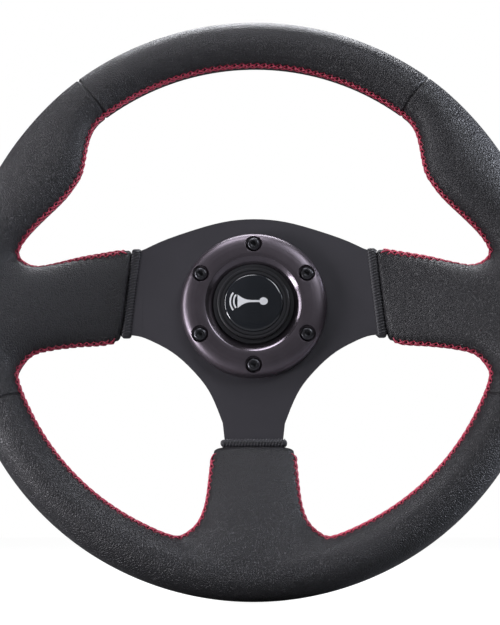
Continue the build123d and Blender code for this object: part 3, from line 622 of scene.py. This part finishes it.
for name, width in (("hem_right", 5.5), ("hem_left", 5.5), ("hem_bottom", 3.9)):
    strip, middle, size = hem_strip(name, width)
    shape = BVHTree.FromObject(strip, bpy.context.evaluated_depsgraph_get())
    slanted = name != "hem_bottom"
    length = (size.z if slanted else size.x) - 5.0
    lean = (size.x - width) / size.z * (-1 if middle.x > 0 else 1) if slanted else 0.0
    wraps = []
    for step in range(round(length / 1.7) + 1):
        for face in (-1, 1):
            middles, ups = [], []
            for share in np.linspace(-0.5, 0.5, 7):
                at = -length / 2 + step * 1.7 + share * 2.2
                over = share * (width + 0.7)
                x, z = (over + lean * at, at) if slanted else (at, over)
                point = np.array((middle.x + x, middle.y + face * 12, middle.z + z))
                hit = shape.ray_cast(Vector(point * mm), Vector((0, -face, 0)), 0.02)
                out = np.array((0.0, face, 0.0))
                deep = middle.y + face * (size.y / 2 - 2.2)
                if hit[0] is not None:
                    point, out = np.array(hit[0]) / mm, np.array(hit[1])
                    middles.append(point - out * 0.1)
                else:
                    middles.append(np.array((point[0], deep, point[2])))
                ups.append(out)
            wraps.append(lay_strand("wrap", middles, ups, 0.45))
    gather(name.replace("hem", "whipping"), wraps, whip_black)
bpy.data.objects.remove(strand)


# ---- Release socket, snap ring and lock balls ----
# The socket is turned and broached from steel bar, blacked, and screwed to the back of the plate.
# Six hardened balls sit in its skirt, and a sprung wire ring at the end keeps the collar on.

def turned(name, colour, roughness, lines=2600.0, depth=0.02, **sockets):
    """A lathe finish: fine rings about the wheel's axis, with a slight change of tone."""
    made, tree, shader = finish_named(name, colour, roughness, **sockets)
    coords = put(tree, "ShaderNodeTexCoord").outputs["Object"]
    parts = put(tree, "ShaderNodeSeparateXYZ", {"Vector": coords})
    flat = put(tree, "ShaderNodeCombineXYZ", {"X": parts.outputs["X"], "Y": parts.outputs["Z"]}).outputs[0]
    radius = put(tree, "ShaderNodeVectorMath", {0: flat}, operation="LENGTH").outputs["Value"]
    track = put(tree, "ShaderNodeCombineXYZ", {"X": radius, "Y": parts.outputs["Y"]}).outputs[0]
    rings = put(tree, "ShaderNodeTexNoise", {"Vector": track, "Scale": lines, "Detail": 4.0}).outputs["Fac"]
    blotch = speckle(tree, 90.0, 3.0)
    mixed = put(tree, "ShaderNodeMath", {0: rings, 1: 0.5, 2: blotch}, operation="MULTIPLY_ADD").outputs[0]
    dark, light = [tuple(c * k for c in colour) for k in (0.72, 1.35)]
    tree.links.new(tint(tree, between(tree, mixed, 0.0, 0.8), dark, light), shader.inputs["Base Color"])
    tree.links.new(between(tree, rings, roughness - 0.08, roughness + 0.08), shader.inputs["Roughness"])
    emboss(tree, shader, rings, depth * mm)
    return made, tree, shader, radius


dress(turned("blacked_steel", (0.07, 0.07, 0.075), 0.34, Metallic=0.85)[0], "release_socket")
hard_ball = turned("hard_ball", (0.55, 0.55, 0.57), 0.12, 700.0, 0.003, Metallic=1.0)[0]
dress(hard_ball, *(f"lock_ball_{n}" for n in range(1, 7)))
dress(turned("spring_wire", (0.42, 0.42, 0.44), 0.28, 1800.0, 0.01, Metallic=1.0)[0], "snap_ring")


# ---- Collar and its spring ----
# The collar is turned aluminium with three finger grooves, dyed the same gunmetal as the horn ring.
# A round-wire compression spring behind the socket's flange holds it over the balls.

dress(turned("collar_gunmetal", (0.11, 0.10, 0.115), 0.30, Metallic=0.95)[0], "release_collar")
coil_wire = turned("coil_wire", (0.36, 0.36, 0.38), 0.3, 1500.0, 0.01, Metallic=1.0)[0]
dress(coil_wire, "collar_spring", "horn_spring", "contact_pin_spring")


# ---- Horn contacts ----
# Pressed brass posts, strips and a sprung pin carry the horn's current through the release. They sit
# in a black moulded carrier, and the pin rides on a brass track bonded to the nose's insulator.

brass = turned("pressed_brass", (0.62, 0.42, 0.16), 0.30, 900.0, 0.01, Metallic=1.0)[0]
dress(brass, "horn_moving_contact", "horn_feed_contact", "horn_earth_contact")
dress(brass, "feed_strip", "earth_strip", "contact_pin", "contact_track")
moulding, tree, shader = finish_named("contact_moulding", (0.03, 0.03, 0.033), 0.48)
skinned = speckle(tree, 1800.0, 3.0)
tree.links.new(between(tree, skinned, 0.4, 0.56), shader.inputs["Roughness"])
tree.links.new(tint(tree, skinned, (0.024, 0.024, 0.027), (0.038, 0.038, 0.042)), shader.inputs["Base Color"])
emboss(tree, shader, skinned, 0.03 * mm)
dress(moulding, "contact_carrier", "contact_insulator")


# ---- Horn ring ----
# A clamping ring turned from aluminium bar and dyed gunmetal. Its face keeps the marks of the lathe,
# the bevel inside it is polished, and six counterbored holes take the screws.

ring_gunmetal, tree, shader, radius = turned("ring_gunmetal", (0.15, 0.13, 0.15), 0.38, Metallic=0.9)
edge_of_bevel = {"Value": radius, "From Min": 27.4 * mm, "From Max": 27.7 * mm}
polish = put(tree, "ShaderNodeMapRange", edge_of_bevel).outputs["Result"]
rough = next(link for link in tree.links if link.to_socket == shader.inputs["Roughness"]).from_socket
bright = put(tree, "ShaderNodeMix", {"Factor": polish, "A": 0.17, "B": rough}).outputs["Result"]
tree.links.new(bright, shader.inputs["Roughness"])


def spun(name, corners, finish, steps=180):
    """A piece turned about the wheel's axis from (radius, distance ahead) corners."""
    bpy.ops.object.select_all(action="DESELECT")
    bpy.ops.mesh.primitive_circle_add(vertices=len(corners), radius=1.0)
    piece = bpy.context.object
    piece.name = name
    for vertex, (reach, ahead) in zip(piece.data.vertices, corners):
        vertex.co = Vector((reach, -ahead, 0)) * mm
    bpy.ops.object.mode_set(mode="EDIT")
    bpy.ops.mesh.select_all(action="SELECT")
    bpy.ops.mesh.spin(steps=steps, angle=2 * math.pi, center=(0, 0, 0), axis=(0, 1, 0))
    bpy.ops.mesh.select_all(action="SELECT")
    bpy.ops.mesh.remove_doubles(threshold=1e-6)
    bpy.ops.mesh.delete_loose(use_verts=True, use_edges=True, use_faces=False)
    bpy.ops.mesh.select_all(action="SELECT")
    bpy.ops.mesh.normals_make_consistent(inside=False)
    bpy.ops.object.mode_set(mode="OBJECT")
    piece.data.materials.clear()
    piece.data.materials.append(finish)
    return piece


def drill(piece, x, z, reach, rear, front, sides=48):
    """Cuts a straight hole along the wheel's axis between two distances ahead."""
    bpy.ops.object.select_all(action="DESELECT")
    bpy.ops.mesh.primitive_cylinder_add(
        vertices=sides, radius=reach * mm, depth=(front - rear) * mm, rotation=(math.pi / 2, 0, 0),
        location=Vector((x, -(front + rear) / 2, z)) * mm)
    bpy.ops.object.transform_apply()
    cutter = bpy.context.object
    settle(piece, "BOOLEAN", object=cutter, operation="DIFFERENCE", solver="EXACT")
    bpy.data.objects.remove(cutter)


ring = spun("clamp_ring", [
    (22.9, 50.0), (22.9, 54.9), (23.1, 55.1), (27.2, 58.25), (27.7, 58.47), (30.0, 58.5),
    (33.0, 58.42), (35.5, 58.2), (37.5, 57.8), (39.0, 57.25), (40.2, 56.5), (41.1, 55.5),
    (41.7, 54.3), (42.0, 52.8), (42.0, 50.4), (41.6, 50.0),
], ring_gunmetal, 240)
SCREW_CIRCLE, SCREW_SEAT = 35.0, 55.5
turns = [math.radians(60 * n) for n in range(6)]
screw_places = [(SCREW_CIRCLE * math.sin(turn), SCREW_CIRCLE * math.cos(turn)) for turn in turns]
for x, z in screw_places:
    drill(ring, x, z, 2.65, 49.0, 60.0)
    drill(ring, x, z, 4.85, SCREW_SEAT, 60.0)
settle(ring, "BEVEL", width=0.15 * mm, segments=2, limit_method="ANGLE", angle_limit=math.radians(60))
alone(ring)
bpy.ops.object.shade_smooth_by_angle(angle=math.radians(28))
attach(ring, "wheel")
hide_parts("horn_ring")


# ---- Wheel screws ----
# Six button-head socket screws, M5, in blacked high-tensile steel. They pass through the ring and
# the plate into the socket, and the driver has rubbed the edges of the hexagons a little bright.

screw_black, tree, shader = finish_named("blacked_screw", (0.07, 0.07, 0.075), 0.27, Metallic=0.85)
rub = speckle(tree, 900.0, 3.0)
tree.links.new(tint(tree, rub, (0.045, 0.045, 0.05), (0.10, 0.10, 0.11)), shader.inputs["Base Color"])
tree.links.new(between(tree, rub, 0.22, 0.42), shader.inputs["Roughness"])
emboss(tree, shader, rub, 0.02 * mm)

HEAD_TOP = 57.9
corners = [(0, HEAD_TOP), (2.1, HEAD_TOP)]
corners += [(2.1 + 1.7 * math.sin(t), HEAD_TOP - 1.5 * (1 - math.cos(t))) for t in (0.3, 0.6, 0.9, 1.2, 1.5)]
corners += [(3.8, SCREW_SEAT), (2.4, SCREW_SEAT), (2.4, 38.5), (0, 38.5)]
screw = spun("ring_screw", corners, screw_black, 48)
drill(screw, 0, 0, 1.73, 56.3, 60.3, 6)
settle(screw, "BEVEL", width=0.1 * mm, segments=2, limit_method="ANGLE", angle_limit=math.radians(50))
screws = []
shape = points(screw)
for number, (x, z) in enumerate(screw_places):
    twin = screw.copy()
    twin.data = screw.data.copy()
    bpy.context.scene.collection.objects.link(twin)
    turn = 0.4 + 1.7 * number
    a = shape[:, 0] * math.cos(turn) - shape[:, 2] * math.sin(turn)
    b = shape[:, 0] * math.sin(turn) + shape[:, 2] * math.cos(turn)
    set_points(twin, np.stack((x + a, shape[:, 1], z + b), axis=1))
    screws.append(twin)
bpy.data.objects.remove(screw)
screws = gather("ring_screws", screws, screw_black)
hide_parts("wheel_bolts")
bpy.ops.object.shade_smooth_by_angle(angle=math.radians(35))


# ---- Horn button ----
# A black moulded housing pressed into the ring holds a sprung cap. The cap carries a domed gloss
# cover with a white horn sign printed on it, and lifts off its contacts when it is let go.

button_satin, tree, shader = finish_named("button_satin", (0.02, 0.02, 0.022), 0.34)
satin = speckle(tree, 2200.0, 3.0)
tree.links.new(between(tree, satin, 0.3, 0.44), shader.inputs["Roughness"])
tree.links.new(tint(tree, satin, (0.017, 0.017, 0.019), (0.026, 0.026, 0.029)), shader.inputs["Base Color"])
emboss(tree, shader, satin, 0.015 * mm)
dress(button_satin, "horn_housing", "horn_cap")

lens_gloss, tree, shader = finish_named(
    "gloss_cover", (0.016, 0.018, 0.021), 0.12, Coat_Weight=1.0, Coat_Roughness=0.03)
haze = speckle(tree, 140.0, 3.0)
tree.links.new(tint(tree, haze, (0.013, 0.015, 0.018), (0.02, 0.022, 0.026)), shader.inputs["Base Color"])
tree.links.new(between(tree, haze, 0.09, 0.15), shader.inputs["Roughness"])


def dome_ahead(reach):
    """How far ahead of the mounting face the cover's dome is, at a radius."""
    return 61.3 - reach * reach / 204.0


corners = [(reach, dome_ahead(reach)) for reach in (0, 2.5, 5, 7.5, 10, 12, 13.5, 14.6, 15.3)]
for t in (0.35, 0.7, 1.05, 1.4, 1.57):
    corners.append((15.3 + 1.5 * math.sin(t), dome_ahead(15.3) - 1.5 * (1 - math.cos(t))))
cover = spun("gloss_cover", corners + [(16.8, 57.5), (0, 57.5)], lens_gloss)
alone(cover)
bpy.ops.object.shade_smooth_by_angle(angle=math.radians(40))
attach(cover, "horn_button")
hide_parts("horn_lens")

sign_white, tree, shader = finish_named(
    "sign_white", (0.8, 0.81, 0.82), 0.2, Coat_Weight=1.0, Coat_Roughness=0.04)
ink = speckle(tree, 700.0, 2.0)
tree.links.new(tint(tree, ink, (0.72, 0.73, 0.74), (0.86, 0.87, 0.88)), shader.inputs["Base Color"])


def horn_outline(along, across):
    """The horn: a bulb, a thin pipe and a flared bell, 17 mm long."""
    bulb = 2.2 * math.sqrt(max(0.0, 1 - ((along - 0.14) / 0.14) ** 2))
    bell = 0.6 + 3.4 * max(0.0, (along - 0.5) / 0.5) ** 2.4
    return 8.0 - 17.0 * along, across * max(bulb, bell) + 0.5


def sound_arc(radius):
    """A short arc of sound in front of the bell, at a radius from it."""
    def place(along, across):
        turn = math.radians(180 + 76 * (along - 0.5))
        reach = radius + 0.45 * across
        return -5.0 + reach * math.cos(turn), 0.5 + reach * math.sin(turn)
    return place


signs = []
for cuts, outline in (((40, 4), horn_outline), ((16, 2), sound_arc(6.2)), ((16, 2), sound_arc(8.2))):
    bpy.ops.object.select_all(action="DESELECT")
    bpy.ops.mesh.primitive_grid_add(x_subdivisions=cuts[0], y_subdivisions=cuts[1], size=1.0)
    sign = bpy.context.object
    for vertex in sign.data.vertices:
        x, z = outline(vertex.co.x + 0.5, vertex.co.y * 2)
        vertex.co = Vector((x, -dome_ahead(math.hypot(x, z)) - 0.04, z)) * mm
    bpy.ops.object.mode_set(mode="EDIT")
    bpy.ops.mesh.select_all(action="SELECT")
    bpy.ops.mesh.remove_doubles(threshold=1e-6)
    bpy.ops.mesh.normals_make_consistent(inside=False)
    bpy.ops.object.mode_set(mode="OBJECT")
    settle(sign, "SOLIDIFY", thickness=0.04 * mm, offset=0.0)
    signs.append(sign)
alone(signs[0])
for sign in signs:
    sign.select_set(True)
bpy.ops.object.join()
signs[0].name = "horn_sign"
signs[0].data.materials.clear()
signs[0].data.materials.append(sign_white)
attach(signs[0], "horn_button")


# ---- Studio ----
# A white paper floor that only the camera sees as bright, a dim white room, and six soft boxes.
# The camera looks up at the wheel by twelve degrees, from 600 mm.

camera_data = bpy.data.cameras.new("camera")
camera = bpy.data.objects.new("camera", camera_data)
bpy.context.scene.collection.objects.link(camera)
bpy.context.scene.camera = camera
tilt, swing = math.radians(-12.02), math.radians(0.909)
aim = Vector((0, -58.5 * mm, 0))
back = Vector((math.sin(swing) * math.cos(tilt), -math.cos(swing) * math.cos(tilt), math.sin(tilt)))
camera.location = aim + 0.6 * back
camera.rotation_euler = (-back).to_track_quat("-Z", "Y").to_euler()
camera_data.lens = 61.0
camera_data.sensor_width = 36.0
camera_data.shift_x, camera_data.shift_y = -0.0058, -0.0153
camera_data.clip_start, camera_data.clip_end = 0.01, 50.0

sky = bpy.data.worlds.new("studio")
bpy.context.scene.world = sky
sky.use_nodes = True
tree = sky.node_tree
seen = put(tree, "ShaderNodeLightPath").outputs["Is Camera Ray"]
glow = put(tree, "ShaderNodeMapRange", {"Value": seen, "To Min": 0.035, "To Max": 1.0}).outputs["Result"]
tree.links.new(glow, tree.nodes["Background"].inputs["Strength"])
tree.nodes["Background"].inputs["Color"].default_value = (1, 1, 1, 1)
bpy.context.scene.view_settings.view_transform = "Standard"

bpy.ops.object.select_all(action="DESELECT")
bpy.ops.mesh.primitive_plane_add(size=8.0, location=(0, 0, -163.0 * mm))
floor = bpy.context.object
floor.name = "floor"
paper, tree, shader = finish_named("white_paper", (0.16, 0.16, 0.16), 0.8)
shader.inputs["Emission Color"].default_value = (1, 1, 1, 1)
seen = put(tree, "ShaderNodeLightPath").outputs["Is Camera Ray"]
tree.links.new(between(tree, seen, 0.0, 0.97), shader.inputs["Emission Strength"])
floor.data.materials.append(paper)

for name, place, size, power, colour in (
    ("over", (-0.15, -0.30, 0.60), (0.4, 0.2), 1.9, (0.94, 0.94, 1.0)),
    ("behind", (0.0, 0.25, 0.8), (0.6, 0.3), 7.0, (0.94, 0.95, 1.0)),
    ("right", (0.6, -0.05, 0.15), (0.3, 0.4), 5.5, (0.84, 0.88, 1.0)),
    ("upper_right", (0.5, -0.7, 0.6), (0.4, 0.4), 3.0, (0.92, 0.95, 1.0)),
    ("left", (-0.8, -0.3, 0.2), (0.3, 0.5), 4.6, (0.96, 0.95, 1.0)),
    ("low_left", (-0.40, -0.26, -0.13), (0.14, 0.14), 1.5, (0.96, 0.94, 1.0)),
):
    lamp = bpy.data.lights.new(name, "AREA")
    lamp.shape, lamp.size, lamp.size_y = "RECTANGLE", size[0], size[1]
    lamp.energy, lamp.color = power, colour
    stand = bpy.data.objects.new(name, lamp)
    bpy.context.scene.collection.objects.link(stand)
    stand.visible_camera = False
    stand.location = place
    stand.rotation_euler = (aim - Vector(place)).to_track_quat("-Z", "Y").to_euler()
